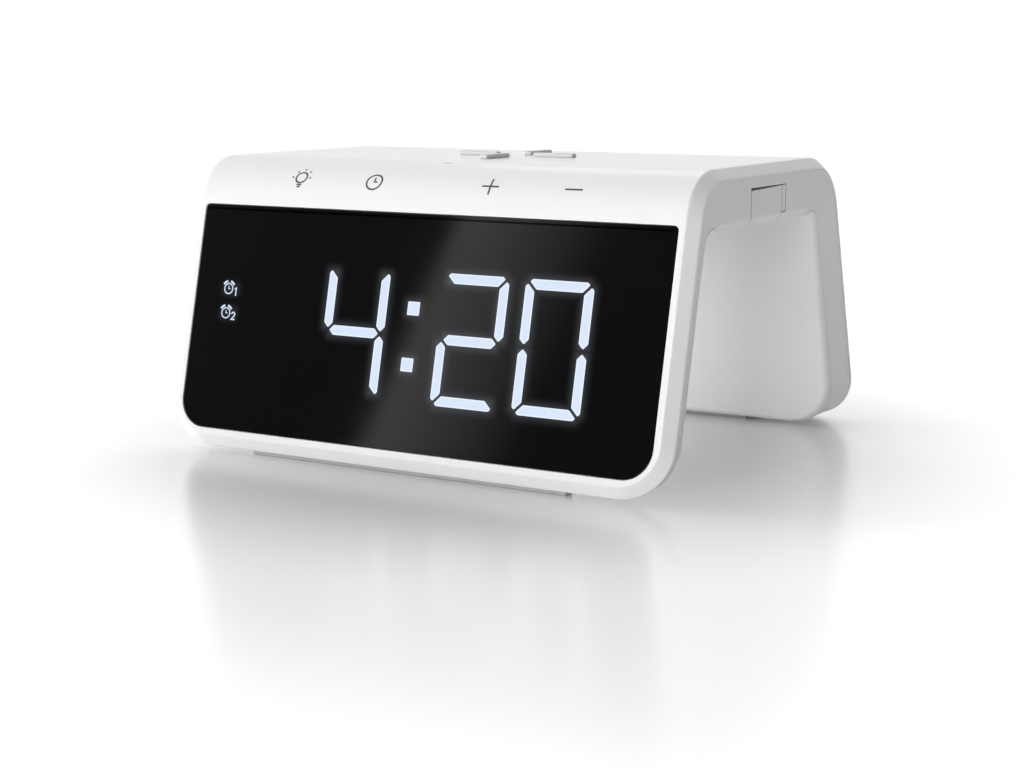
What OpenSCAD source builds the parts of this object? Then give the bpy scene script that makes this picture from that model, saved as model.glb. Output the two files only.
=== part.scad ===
// Bedside alarm clock with a wireless charging top.
// A bent tunnel of white plastic: the front leg carries the display, the flat top
// carries the charging coil and the rear leg carries the power inlet.
// Millimetres, +X to the right of the display, +Y to the back, +Z up.
// The origin is on the table, under the middle of the body.

/* [Body] */
// Overall width, left to right
body_w = 165; // [150:1:180]
// Depth from front to rear where both faces reach the base
body_d = 145; // [138:1:150]
// Height from the underside of the legs to the flat top
body_h = 84; // [82:0.5:88]
// Lean of the front face from upright, in degrees
front_lean = 13.5; // [11:0.5:15]
// Lean of the rear face from upright, in degrees
rear_lean = 18; // [15:0.5:19]
// Radius where the front face meets the top
front_r = 16; // [14:1:17]
// Radius where the rear face meets the top
rear_r = 20; // [17:1:22]
// Radius of the bottom corners of both legs
corner_r = 15; // [12:1:16]
// Thickness of the front leg
front_leg_t = 8; // [8:0.1:9]
// Thickness of the rear leg
rear_leg_t = 21; // [20:0.5:22]
// Height of the tunnel ceiling above the underside of the legs
ceiling_h = 67.2; // [66.8:0.2:67.6]

/* [Shell] */
// Wall of the outer shell
wall = 3.2; // [3:0.1:3.4]
// Width of the bevel along the rim, measured across the clock
rim_c = 3.1; // [2.5:0.1:3.3]
// Depth of the bevel along the rim, measured into the clock
rim_d = 2.8; // [2.4:0.1:2.9]
// Wall of the inner cover
cover_t = 1.8; // [1.6:0.1:2]
// Wall of the end frames
frame_t = 2; // [1.8:0.1:2.2]
// Height of the rubber feet
foot_h = 1.1; // [0.9:0.1:1.5]

/* [Display] */
// Width of the display lens
lens_w = 154.8; // [150:0.2:156]
// Height of the lens, measured up the front face
lens_h = 66.2; // [64:0.2:67]
// Distance from the base to the lens, measured up the front face
lens_s = 6; // [5.8:0.1:6.4]
// Height of the digits
digit_h = 36.6; // [34:0.2:38]
// Width of the digits
digit_w = 20.7; // [19:0.1:22]
// Stroke width of a digit
stroke = 2.8; // [2.2:0.1:3]

/* [Charging top] */
// Outer radius of the coil
coil_r = 21.5; // [18:0.5:22]
// Length of one anti-slip bar
bar_l = 13.4; // [10:0.2:16]
// Distance from the middle of the top to the near end of a bar
bar_gap = 6.2; // [5:0.2:8]
// Height of an anti-slip bar above the top
bar_h = 1.2; // [0.8:0.1:1.6]

/* [Battery door] */
// Width of the door, front to back
door_w = 21.4; // [20.6:0.1:21.6]
// Height of the door's upper edge above the tunnel ceiling
door_top = 10.4; // [10:0.1:10.6]
// Width of the flexible strap that carries the door
strap_w = 3.2; // [3:0.1:3.4]
// Gap round the door
door_gap = 0.35; // [0.3:0.05:0.4]

/* [Hidden] */
$fn = 64;
eps = 0.01;

// Working values of the side profile. Profile coordinates are (y, z) with y from the
// foot of the front face and z from the underside of the legs.
fillet_f = [(front_r + (body_h - front_r) * sin(front_lean)) / cos(front_lean), body_h - front_r];
fillet_r = [body_d - (rear_r + (body_h - rear_r) * sin(rear_lean)) / cos(rear_lean), body_h - rear_r];
// Distance up each face to where its fillet starts
tangent_f = fillet_f[0] * sin(front_lean) + fillet_f[1] * cos(front_lean);
tangent_r = (body_d - fillet_r[0]) * sin(rear_lean) + fillet_r[1] * cos(rear_lean);
// The rim's lowest line starts a little above the base
rim_s = 0.8;
low_front = (rim_s + rim_c) * sin(front_lean);
low_rear = body_d - (rim_s + rim_c) * sin(rear_lean);
mid_y = (low_front + low_rear) / 2;
tunnel_r = 4;
fit = 0.3;
pad_y = (fillet_f[0] + fillet_r[0]) / 2;
top_in = body_h - wall;
// Where the flat of the tunnel ceiling starts and ends
tunnel_mid = ceiling_h - tunnel_r;
ceiling_y = [(front_leg_t + tunnel_r + tunnel_mid * sin(front_lean)) / cos(front_lean),
    body_d - (rear_leg_t + tunnel_r + tunnel_mid * sin(rear_lean)) / cos(rear_lean)];
ceiling_in = ceiling_h + cover_t;

// End frames: faces just inside the rim, with a lip under the slab
end_x = body_w / 2 - 0.3;
lip_in = end_x - 6.2;
lip_z = 60;
lip_r = 3.5;

// Display stack, as depths behind the front face
lens_depth = 0.25;
lens_t = 1.6;
seat_depth = 2.05;
window_w = 146.6;
window_s = [9.1, 69.1];
digit_x = [-45, -19.2, 19.2, 45];
digit_s = lens_s + 31.9;
colon_size = [3.9, 3.8];
colon_rise = 7.85;
icon_x = -64.5;
icon_rise = [9.2, 2.1];
icon_size = [8, 4.6];
led_size = [1.6, 1.2];
// Segments of one digit as [centre x, centre s, upright, half length]
half_w = (digit_w - stroke) / 2;
half_h = (digit_h - stroke) / 2;
arm = half_h / 2;
segments = [
    [0, half_h, false, half_w], [half_w, arm, true, arm], [half_w, -arm, true, arm],
    [0, -half_h, false, half_w], [-half_w, -arm, true, arm], [-half_w, arm, true, arm],
    [0, 0, false, half_w]];
segment_gap = 0.55;

// Slab contents
board_t = 1.6;
board_z = ceiling_in + 2;
screw_x = 66;
screw_y = [41, 95];
main_y = [30, 46];
main_w = 104;
charger_y = [50, 86];
charger_w = 48;
post_r = 2.4;
board_posts = concat(
    [for (x = [-1, 1], y = [33, 43]) [x * 48, y]],
    [for (x = [-1, 1], y = [53, 83]) [x * 21, y]]);

// Rear leg contents
jack_s = 16.5;
jack_bore = 2.85;
power_depth = 13;
power_posts = [for (x = [-24, 24], s = [14, 40]) [x, s]];

// Battery door, in profile coordinates
door_y0 = 53.5;
door_y1 = door_y0 + door_w;
strap_y1 = door_y1 + strap_w;
door_z = ceiling_h + door_top;
door_t = 1.6;
door_lip_in = end_x - 5.6;
// Round edges of the strap, centred on its two hinge lines
knuckle_r = 0.6;
knuckle_y = [door_y1 + door_gap + knuckle_r, strap_y1 - knuckle_r];

// Tray of the backup cell, in profile coordinates
tray_t = 1;
tray_y = [door_y0 - 1.1, door_y1 + 1.1];
tray_x = [53, end_x - frame_t - 1.2];
tray_z = [ceiling_in + 0.1, ceiling_in + 10.3];
spring_t = 0.3;
cell_r = 10;
cell_h = 3.2;
cell_c = [66, (tray_y[0] + tray_y[1]) / 2, tray_z[0] + tray_t + spring_t];

// ---------- frames of reference ----------
module placed() translate([0, -mid_y, foot_h]) children();
// x across, y into the clock from the front face, z up the front face
module on_front() rotate([-front_lean, 0, 0]) children();
// x across, y into the clock from the rear face, z up the rear face
module on_rear() translate([0, body_d, 0]) mirror([0, 1, 0]) rotate([-rear_lean, 0, 0]) children();
// Extrudes a (y, z) shape across the clock, centred
module across(w) rotate([90, 0, 90]) translate([0, 0, -w / 2]) linear_extrude(w) children();
// Extrudes an (x, z) shape from front to back
module rearward(y0, y1) translate([0, y1, 0]) rotate([90, 0, 0]) linear_extrude(y1 - y0) children();
module box(lo, hi) translate(lo) cube(hi - lo);

// ---------- flat shapes ----------
// Side profile: in from the front face by df and from the rear face by dr, up to top
module trapezium(df, top, dr, rf, rr, low = 0) {
    cf = [(df + rf + (top - rf) * sin(front_lean)) / cos(front_lean), top - rf];
    cr = [body_d - (dr + rr + (top - rr) * sin(rear_lean)) / cos(rear_lean), top - rr];
    polygon([
        [(df + low * sin(front_lean)) / cos(front_lean), low],
        cf + rf * [-cos(front_lean), sin(front_lean)],
        [cf[0], top],
        [cr[0], top],
        cr + rr * [cos(rear_lean), sin(rear_lean)],
        [body_d - (dr + low * sin(rear_lean)) / cos(rear_lean), low]
    ]);
    translate(cf) circle(rf);
    translate(cr) circle(rr);
}
module body_profile(d) trapezium(d, body_h - d, d, front_r - d, rear_r - d);
// The tunnel under the slab, grown by e
module tunnel_profile(e, low = 0)
    trapezium(front_leg_t - e, ceiling_h + e, rear_leg_t - e, tunnel_r + e, tunnel_r + e, low);
// Front view with round bottom corners
module leg_outline(w, r) {
    translate([-w / 2, r]) square([w, body_h]);
    translate([-w / 2 + r, 0]) square([w - 2 * r, r]);
    for (s = [-1, 1]) translate([s * (w / 2 - r), r]) circle(r);
}
// Panel with large bottom corners and small top ones
module panel(w, s0, s1, r_low, r_top) {
    translate([-w / 2, s0 + r_low]) square([w, s1 - r_top - s0 - r_low]);
    translate([-w / 2 + r_low, s0]) square([w - 2 * r_low, r_low]);
    translate([-w / 2 + r_top, s1 - r_top]) square([w - 2 * r_top, r_top]);
    for (s = [-1, 1]) {
        translate([s * (w / 2 - r_low), s0 + r_low]) circle(r_low);
        translate([s * (w / 2 - r_top), s1 - r_top]) circle(r_top);
    }
}
// Raises a front-face drawing (x, up the face) from depth d0 to d1
module deep(d0, d1) translate([0, d1, 0]) rotate([90, 0, 0]) linear_extrude(d1 - d0) children();
// Unit normal of the stretch from a to b
function normal(a, b) = [a[1] - b[1], b[0] - a[0]] / norm(b - a);
// Sideways step at point i that keeps a band's thickness through its corners
function mitre(p, i) =
    let (n0 = normal(p[max(i - 1, 0)], p[max(i, 1)]),
        n1 = normal(p[min(i, len(p) - 2)], p[min(i + 1, len(p) - 1)]))
    (n0 + n1) / (1 + n0 * n1);
// A band of thickness t through points, with mitred corners
module band(points, t) polygon(concat(
    [for (i = [0 : len(points) - 1]) points[i] + mitre(points, i) * t / 2],
    [for (i = [len(points) - 1 : -1 : 0]) points[i] - mitre(points, i) * t / 2]));

// ---------- outer shell ----------
// Convex block with the shell's outside, drawn once at the surface and once at the
// depth where the bevel along the rim ends
module shell_block() hull() for (rim = [[0, rim_c], [rim_d, 0]]) {
    depth = rim[0];
    inset = rim[1];
    w = body_w - 2 * inset;
    on_front() deep(depth, depth + eps)
        panel(w, rim_s + inset, tangent_f, corner_r - inset, eps);
    on_rear() deep(depth, depth + eps)
        panel(w, rim_s + inset, tangent_r, corner_r - inset, eps);
    across(w) {
        translate(fillet_f) circle(front_r - depth);
        translate(fillet_r) circle(rear_r - depth);
    }
}
module outer_shell() color("white") placed() {
    difference() {
        shell_block();
        // Hollow behind the wall
        across(body_w + 1) trapezium(wall, top_in, wall, front_r - wall, rear_r - wall, low = -8);
        // Level underside
        box([-body_w, -5, -5], [body_w, body_d + 5, 0]);
        // Lens seat, and the window behind it
        on_front() deep(-1, seat_depth)
            panel(lens_w + 0.3, lens_s - 0.15, lens_s + lens_h + 0.15, 8.65, 1.35);
        on_front() deep(0, wall + 1) translate([-window_w / 2, window_s[0]])
            square([window_w, window_s[1] - window_s[0]]);
        // Slot for the charging indicator
        box([-1.5, 29.1, top_in - 5], [1.5, 30, body_h + 1]);
        // Hole for the power inlet
        on_rear() translate([0, -1, jack_s]) rotate([-90, 0, 0]) cylinder(r = 4.4, h = wall + 2);
    }
    // Screw bosses under the top
    for (x = [-1, 1], y = screw_y) translate([x * screw_x, y, ceiling_in + 2.2]) difference() {
        cylinder(r = 3.2, h = top_in - ceiling_in - 2.2 + eps);
        translate([0, 0, -1]) cylinder(r = 1.25, h = 9);
    }
}

// ---------- end frames ----------
// A band that follows a leg's side and its round bottom corner
module frame_leg(y0, y1) {
    w = 2 * end_x;
    intersection() {
        rearward(y0, y1) intersection() {
            difference() {
                leg_outline(w, corner_r - 0.3);
                translate([0, frame_t]) leg_outline(w - 2 * frame_t, corner_r - 0.3 - frame_t);
            }
            translate([body_w / 2 - corner_r, 0]) square([corner_r, lip_z + 1]);
        }
        across(body_w + 1) difference() {
            body_profile(wall + fit);
            tunnel_profile(cover_t + 0.2, low = -1);
        }
    }
}
module end_frame(door) {
    edge = wall + fit;
    difference() {
        union() {
            // Side and corner of each leg
            frame_leg(-1, body_d / 2);
            frame_leg(body_d / 2, body_d + 1);
            // Flat cheek beside the slab
            translate([end_x - frame_t / 2, 0, 0]) across(frame_t) difference() {
                intersection() {
                    body_profile(edge);
                    translate([0, lip_z + 0.2]) square([body_d, body_h]);
                }
                tunnel_profile(0, low = lip_z);
            }
            // Lip that turns under the slab
            intersection() {
                box([lip_in, 0, lip_z + 0.2], [end_x, body_d, ceiling_in]);
                across(body_w + 1) difference() {
                    tunnel_profile(cover_t, low = lip_z);
                    tunnel_profile(0, low = lip_z);
                }
            }
        }
        // Round lower edge
        difference() {
            box([end_x - lip_r, ceiling_y[0], ceiling_h - 1],
                [end_x + 1, ceiling_y[1], ceiling_h + lip_r]);
            translate([end_x - lip_r, -1, ceiling_h + lip_r]) rotate([-90, 0, 0])
                cylinder(r = lip_r, h = body_d + 2);
        }
        if (door) {
            box([end_x - 4, door_y0 - door_gap, ceiling_h + 2.6],
                [end_x + 1, knuckle_y[1], door_z + door_gap]);
            translate([end_x - knuckle_r, knuckle_y[1], ceiling_h + 2.6])
                cylinder(r = knuckle_r + door_gap, h = door_z + door_gap - ceiling_h - 2.6);
            box([end_x - 4, knuckle_y[1] - 1, ceiling_h + 2.6],
                [end_x - knuckle_r, knuckle_y[1] + knuckle_r + door_gap, door_z + door_gap]);
            box([lip_in - 1, door_y0 - door_gap, ceiling_h - 1],
                [end_x + 1, door_y1 + door_gap, ceiling_h + 3]);
            // Room for the inner edge of the lip as the door swings
            box([lip_in - 1, door_y0 - 1.2, ceiling_h - 1],
                [end_x - lip_r, door_y0, ceiling_h + 3]);
        }
    }
}
module end_frame_right() color("gainsboro") placed() end_frame(true);
module end_frame_left() color("gainsboro") placed() mirror([1, 0, 0]) end_frame(false);

// ---------- inner cover ----------
module inner_cover() color("whitesmoke") placed() {
    w = 2 * end_x;
    difference() {
        union() {
            intersection() {
                across(w) difference() {
                    tunnel_profile(cover_t);
                    tunnel_profile(0, low = -1);
                }
                rearward(-1, body_d + 1) leg_outline(w, corner_r - 0.3);
            }
            // Level soles that close the legs
            across(body_w - 2 * corner_r - 0.6) intersection() {
                difference() {
                    body_profile(wall + fit);
                    tunnel_profile(cover_t - eps, low = -1);
                }
                square([body_d, 2]);
            }
            // Cups round the case screws
            for (x = [-1, 1], y = screw_y) translate([x * screw_x, y, ceiling_in - eps])
                cylinder(r = 4, h = 2);
            // Posts under the boards
            for (p = board_posts) translate([p[0], p[1], ceiling_in - eps])
                cylinder(r = post_r, h = board_z - ceiling_in + eps);
            // Posts behind the power board
            on_rear() for (p = power_posts) translate([p[0], power_depth + board_t, p[1]])
                rotate([-90, 0, 0])
                    cylinder(r = post_r, h = rear_leg_t - cover_t - power_depth - board_t + eps);
        }
        // The end frames' lips take the place of the ceiling's ends
        for (s = [-1, 1]) translate([s * (lip_in - 0.2 + 10), body_d / 2, lip_z + 30])
            cube([20, body_d, 60], center = true);
        for (x = [-1, 1], y = screw_y) translate([x * screw_x, y, ceiling_h - 1]) {
            cylinder(r = 2.9, h = 1 + 2.2);
            cylinder(r = 1.6, h = 8);
        }
        for (p = board_posts) translate([p[0], p[1], ceiling_in]) cylinder(r = 0.9, h = 3);
        on_rear() for (p = power_posts) translate([p[0], power_depth, p[1]])
            rotate([-90, 0, 0]) cylinder(r = 0.9, h = 5.5);
    }
}

// ---------- rubber, pads and case screws ----------
module grip_pads() color("white") placed() for (a = [0 : 90 : 270])
    translate([0, pad_y, body_h]) rotate([0, 0, a]) translate([bar_gap, -1.3, 0])
        cube([bar_l, 2.6, bar_h]);
module front_foot() color("lightgray") placed()
    box([-52, 3.9, -foot_h], [52, 7.9, 0]);
module rear_foot() color("lightgray") placed()
    box([-52, body_d - 19.5, -foot_h], [52, body_d - 7.5, 0]);
module case_screws() color("silver") placed() for (x = [-1, 1], y = screw_y)
    translate([x * screw_x, y, ceiling_h + 0.6]) {
        cylinder(r = 2.6, h = 1.6);
        cylinder(r = 1.2, h = 10);
    }

// ---------- display ----------
module display_lens() color([0.05, 0.05, 0.06]) placed() on_front()
    deep(lens_depth, lens_depth + lens_t) panel(lens_w, lens_s, lens_s + lens_h, 8.5, 1.2);
module lens_tape() color("dimgray") placed() on_front() deep(lens_depth + lens_t, seat_depth) difference() {
    panel(lens_w - 1, lens_s + 0.5, lens_s + lens_h - 0.5, 8, 1);
    translate([-window_w / 2, window_s[0]]) square([window_w, window_s[1] - window_s[0]]);
}
// One pointed bar, shortened by g at each tip and grown by e
module segment(seg, e = 0) translate([seg[0], seg[1]]) rotate(seg[2] ? 90 : 0) {
    l = seg[3] - segment_gap + e;
    t = stroke / 2 + e;
    polygon([[-l, 0], [-l + t, t], [l - t, t], [l, 0], [l - t, -t], [-l + t, -t]]);
}
module all_digits(e = 0) {
    for (x = digit_x, seg = segments) translate([x, digit_s]) segment(seg, e);
    for (s = [-1, 1]) translate([0, digit_s + s * colon_rise]) square(colon_size + [2 * e, 2 * e], center = true);
    for (rise = icon_rise) translate([icon_x, digit_s + rise])
        square(icon_size + [2 * e, 2 * e], center = true);
}
module digit_housing() color("dimgray") placed() on_front() deep(seat_depth + 0.1, 4.5) difference() {
    translate([-window_w / 2 + fit, window_s[0] + fit])
        square([window_w - 2 * fit, window_s[1] - window_s[0] - 2 * fit]);
    all_digits(0.08);
}
module digit_light_guides() color("aliceblue") placed() on_front()
    deep(seat_depth + 0.15, 3.85) all_digits();
module display_board() color("darkgreen") placed() on_front() deep(4.55, 4.55 + 1.2)
    translate([-76, 7]) square([152, 62]);
module display_leds() color("lightyellow") placed() on_front() deep(3.95, 4.55) {
    for (x = digit_x, seg = segments) translate([x + seg[0], digit_s + seg[1]])
        square(led_size, center = true);
    for (s = [-1, 1]) translate([0, digit_s + s * colon_rise]) square(led_size, center = true);
    for (rise = icon_rise) translate([icon_x, digit_s + rise]) square(led_size, center = true);
}
// Flat flex from the back of the display board over to the main board
function face_point(depth, s) = [depth * cos(front_lean) + s * sin(front_lean),
    s * cos(front_lean) - depth * sin(front_lean)];
module display_ribbon() color("burlywood") placed() translate([14, 0, 0]) across(20)
    band([face_point(5.9, 61), face_point(5.9, 70.5), [26, 74.4], [30, 74.4],
        [33.5, board_z + board_t + 0.15]], 0.25);

// ---------- touch keys ----------
module in_front_fillet(a) translate([0, fillet_f[0], fillet_f[1]]) rotate([180, -90, 0]) rotate([0, 0, a]) children();
module touch_film() color("peru") placed() in_front_fillet(32) rotate_extrude(angle = 38)
    translate([front_r - wall - 0.35, -54]) square([0.3, 108]);
module touch_electrodes() color("darkorange") placed() for (x = digit_x) in_front_fillet(40)
    rotate_extrude(angle = 22) translate([front_r - wall - 0.6, x - 4.5]) square([0.2, 9]);

// ---------- slab electronics ----------
module board_holes(w, y, posts) {
    difference() {
        box([-w / 2, y[0], board_z], [w / 2, y[1], board_z + board_t]);
        for (p = posts) translate([p[0], p[1], board_z - 1]) cylinder(r = 1.25, h = 4);
    }
}
module main_board() color("darkgreen") placed()
    board_holes(main_w, main_y, [for (i = [0 : 3]) board_posts[i]]);
module controller_chip() color("black") placed()
    box([-24, 33, board_z + board_t], [-14, 43, board_z + board_t + 1.6]);
module indicator_light_pipe() color("ghostwhite") placed()
    box([-1.4, 29.2, board_z + board_t + 0.3], [1.4, 29.9, body_h - 0.45]);
module buzzer() color("black") placed() translate([-52, pad_y, ceiling_in + 0.1]) difference() {
    cylinder(r = 6, h = 5);
    translate([0, 0, 3]) cylinder(r = 1, h = 3);
}
module charging_coil() color("chocolate") placed() translate([0, pad_y, top_in - 1.6]) difference() {
    cylinder(r = coil_r, h = 1.2);
    translate([0, 0, -1]) cylinder(r = 10, h = 4);
}
module ferrite_sheet() color("dimgray") placed() translate([0, pad_y, top_in - 2.5])
    cylinder(r = coil_r + 1.6, h = 0.8);
module coil_carrier() color("white") placed() translate([0, pad_y, top_in - 4]) difference() {
    cylinder(r = coil_r + 3.4, h = 3.8);
    translate([0, 0, 1.4]) cylinder(r = coil_r + 2.2, h = 4);
}
module charger_board() color("darkgreen") placed()
    board_holes(charger_w, charger_y, [for (i = [4 : 7]) board_posts[i]]);
module charger_capacitors() color("goldenrod") placed() for (i = [0 : 3])
    translate([-14 + 7.5 * i, 60, board_z + board_t]) cube([5, 7, 2.6]);
module night_light_board() color("darkgreen") placed()
    box([-50, 92, ceiling_in + 0.75], [50, 98, ceiling_in + 1.75]);
module night_light_leds() color("lightyellow") placed() for (i = [-2.5 : 1 : 2.5])
    translate([i * 17 - 1.4, 93.6, ceiling_in + 0.05]) cube([2.8, 2.8, 0.7]);
module board_screws() color("silver") placed() {
    for (p = board_posts) translate([p[0], p[1], 0]) {
        translate([0, 0, ceiling_in + 0.2]) cylinder(r = 0.85, h = board_z + board_t - ceiling_in);
        translate([0, 0, board_z + board_t]) cylinder(r = 1.9, h = 1.1);
    }
    on_rear() for (p = power_posts) translate([p[0], 0, p[1]]) {
        translate([0, power_depth - 1.1, 0]) rotate([-90, 0, 0]) cylinder(r = 1.9, h = 1.1);
        translate([0, power_depth - 0.2, 0]) rotate([-90, 0, 0]) cylinder(r = 0.85, h = 5);
    }
}

// ---------- power ----------
module power_board() color("darkgreen") placed() on_rear() difference() {
    box([-29, power_depth, 8], [29, power_depth + board_t, 46]);
    for (p = power_posts) translate([p[0], power_depth - 1, p[1]])
        rotate([-90, 0, 0]) cylinder(r = 1.25, h = 4);
}
module power_jack() color("black") placed() on_rear() difference() {
    union() {
        box([-4.6, wall + 0.4, jack_s - 5.5], [4.6, power_depth, jack_s + 5.5]);
        translate([0, 0.4, jack_s]) rotate([-90, 0, 0]) cylinder(r = 4.2, h = wall + 1);
    }
    translate([0, -1, jack_s]) rotate([-90, 0, 0]) cylinder(r = jack_bore, h = 11.5);
}
module jack_pin() color("gold") placed() on_rear() translate([0, 1.8, jack_s]) rotate([-90, 0, 0])
    cylinder(r = 1.05, h = 8.7);
module power_parts() color("darkslategray") placed() on_rear() {
    translate([14, power_depth - 5, 28]) rotate([-90, 0, 0]) cylinder(r = 5.2, h = 5);
    for (x = [-16, -7]) translate([x, power_depth - 8, 32]) rotate([-90, 0, 0]) cylinder(r = 3.2, h = 8);
}
// Twin lead from the power board to the main board
module power_lead() color("firebrick") placed() translate([-38, 0, 0]) across(4)
    band([[body_d - 29.8, 55], [body_d - 31.5, 70], [body_d - 40, 75.4], [50, 75.4],
        [44.5, board_z + board_t + 0.7]], 1.2);

// ---------- backup cell behind the battery door ----------
module cell_pocket() color("white") placed() difference() {
    box([tray_x[0], tray_y[0], tray_z[0]], [tray_x[1], tray_y[1], tray_z[1]]);
    box([tray_x[0] + tray_t, tray_y[0] + tray_t, tray_z[0] + tray_t],
        [tray_x[1] + 1, tray_y[1] - tray_t, tray_z[1] - tray_t]);
}
module coin_cell() color("silver") placed() translate(cell_c) {
    cylinder(r = cell_r - 1.1, h = 0.6);
    translate([0, 0, 0.6]) cylinder(r = cell_r, h = cell_h - 0.6);
}
// Flat spring under the cell
module cell_spring() color("gold") placed()
    box([cell_c[0] - 8, cell_c[1] - 2, cell_c[2] - spring_t], [cell_c[0] + 4, cell_c[1] + 2, cell_c[2]]);
// Bent clip that presses on the cell's far edge
module cell_clip() color("gold") placed() {
    back = tray_x[0] + tray_t;
    top = cell_c[2] + cell_h;
    box([back, cell_c[1] - 3, tray_z[0] + tray_t], [back + 0.4, cell_c[1] + 3, top + 0.3]);
    box([back, cell_c[1] - 3, top], [back + 6, cell_c[1] + 3, top + 0.3]);
}
// Door: a plate on the end face that turns in under the slab
module battery_door() color("gainsboro") placed() {
    wide = [door_y0 - 1, door_y1 + 1];
    centre = [end_x - lip_r, ceiling_h + lip_r];
    difference() {
        union() {
            box([end_x - door_t, door_y0, centre[1]], [end_x, door_y1, door_z]);
            // The lip stops short at the front, so that it swings clear of the frame
            box([door_lip_in, door_y0 + 0.7, ceiling_h], [centre[0] + eps, door_y1, ceiling_h + door_t]);
            // Quarter tube between the two
            intersection() {
                box([centre[0], door_y0, ceiling_h], [end_x, door_y1, centre[1] + eps]);
                translate([centre[0], wide[0], centre[1]]) rotate([-90, 0, 0])
                    cylinder(r = lip_r, h = wide[1] - wide[0]);
            }
        }
        translate([centre[0], wide[0], centre[1]]) rotate([-90, 0, 0])
            cylinder(r = lip_r - door_t, h = wide[1] - wide[0]);
    }
}
module door_strap() color("gainsboro") placed() {
    low = ceiling_h + 3;
    for (y = knuckle_y) translate([end_x - knuckle_r, y, low])
        cylinder(r = knuckle_r, h = door_z - low);
    box([end_x - 2 * knuckle_r, knuckle_y[0], low], [end_x, knuckle_y[1], door_z]);
}

outer_shell();
end_frame_left();
end_frame_right();
inner_cover();
grip_pads();
front_foot();
rear_foot();
case_screws();
display_lens();
lens_tape();
digit_housing();
digit_light_guides();
display_board();
display_leds();
display_ribbon();
touch_film();
touch_electrodes();
main_board();
controller_chip();
indicator_light_pipe();
buzzer();
charging_coil();
ferrite_sheet();
coil_carrier();
charger_board();
charger_capacitors();
night_light_board();
night_light_leds();
power_board();
power_parts();
power_jack();
jack_pin();
power_lead();
board_screws();
cell_pocket();
coin_cell();
cell_spring();
cell_clip();
battery_door();
door_strap();
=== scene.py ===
"""Bedside alarm clock with a wireless charging top: the finished look of every piece."""

import math

import bmesh
import bpy
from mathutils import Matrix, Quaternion, Vector


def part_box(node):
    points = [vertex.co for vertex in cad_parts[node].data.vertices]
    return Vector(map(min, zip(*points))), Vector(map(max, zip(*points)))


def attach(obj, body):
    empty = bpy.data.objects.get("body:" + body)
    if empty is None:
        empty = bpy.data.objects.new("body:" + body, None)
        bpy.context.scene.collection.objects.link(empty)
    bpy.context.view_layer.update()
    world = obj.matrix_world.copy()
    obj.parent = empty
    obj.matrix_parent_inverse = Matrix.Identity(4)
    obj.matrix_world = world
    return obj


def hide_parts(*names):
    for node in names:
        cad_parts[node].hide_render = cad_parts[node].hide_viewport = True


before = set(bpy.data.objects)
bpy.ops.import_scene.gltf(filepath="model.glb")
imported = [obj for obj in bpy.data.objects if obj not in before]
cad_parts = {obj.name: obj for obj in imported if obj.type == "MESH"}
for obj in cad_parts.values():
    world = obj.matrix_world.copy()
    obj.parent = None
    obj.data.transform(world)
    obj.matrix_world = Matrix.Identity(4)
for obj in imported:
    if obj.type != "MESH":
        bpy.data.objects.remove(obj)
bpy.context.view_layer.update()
MM = 0.001

# ---- Outer shell -------------------------------------------------------------------
# One injection moulding in glossy white ABS: the front of the clock, the flat top and
# the back, bent out of one wall with a wide bevel along its whole rim. The other mouldings
# hook in behind the rim.
WIDTH, HEIGHT, DEPTH = 165, 84, 145
FOOT_H = 1.1
FRONT_LEAN, REAR_LEAN = math.radians(13.5), math.radians(18)
FRONT_R, REAR_R = 16, 20
CORNER_R = 15
WALL = 3.2
RIM_ACROSS, RIM_DEEP, RIM_FOOT = 3.1, 2.8, 0.8
RIM_SOFT, HOLE_SOFT = 0.45, 0.22
LENS_W, LENS_H, LENS_FOOT = 154.8, 66.2, 6
LENS_ROUND_LOW, LENS_ROUND_HIGH = 8.5, 1.2
LENS_GAP = 0.15
SEAT_DEEP = 2.05
WINDOW, WINDOW_ROUND = (146.6, 9.1, 69.1), 0.5
SLOT_PATH, SLOT_W, SLOT_H = 91.8, 3.0, 0.9
JACK_UP, JACK_R = 16.5, 4.4
BEND_STRIPS = 20
SHELL_WHITE = (0.86, 0.862, 0.865)


class Wrap:
    """The clock's outside seen from its end, walked from the front foot to the rear foot."""

    def __init__(self):
        rise_f, rise_r = HEIGHT - FRONT_R, HEIGHT - REAR_R
        lean_f, lean_r = FRONT_LEAN, REAR_LEAN
        y_f = (FRONT_R + rise_f * math.sin(lean_f)) / math.cos(lean_f)
        y_r = DEPTH - (REAR_R + rise_r * math.sin(lean_r)) / math.cos(lean_r)
        self.front, self.rear = Vector((y_f, rise_f)), Vector((y_r, rise_r))
        self.up = y_f * math.sin(lean_f) + rise_f * math.cos(lean_f)
        self.over_front = self.up + (math.pi / 2 - lean_f) * FRONT_R
        self.along_top = self.over_front + y_r - y_f
        self.over_rear = self.along_top + (math.pi / 2 - lean_r) * REAR_R
        self.end = self.over_rear + (DEPTH - y_r) * math.sin(lean_r) + rise_r * math.cos(lean_r)

    def at(self, path):
        """The point (y, z) at a distance along the path, and the outward direction there."""
        if path <= self.over_front:
            turn = FRONT_LEAN + max(path - self.up, 0) / FRONT_R
            out = Vector((-math.cos(turn), math.sin(turn)))
            below = max(self.up - path, 0)
            down = Vector((-math.sin(FRONT_LEAN), -math.cos(FRONT_LEAN)))
            return self.front + FRONT_R * out + below * down, out
        if path <= self.along_top:
            return Vector((self.front.x + path - self.over_front, HEIGHT)), Vector((0, 1))
        turn = min(path - self.along_top, self.over_rear - self.along_top) / REAR_R
        out = Vector((math.sin(turn), math.cos(turn)))
        below = max(path - self.over_rear, 0)
        down = Vector((math.sin(REAR_LEAN), -math.cos(REAR_LEAN)))
        return self.rear + REAR_R * out + below * down, out


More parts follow.
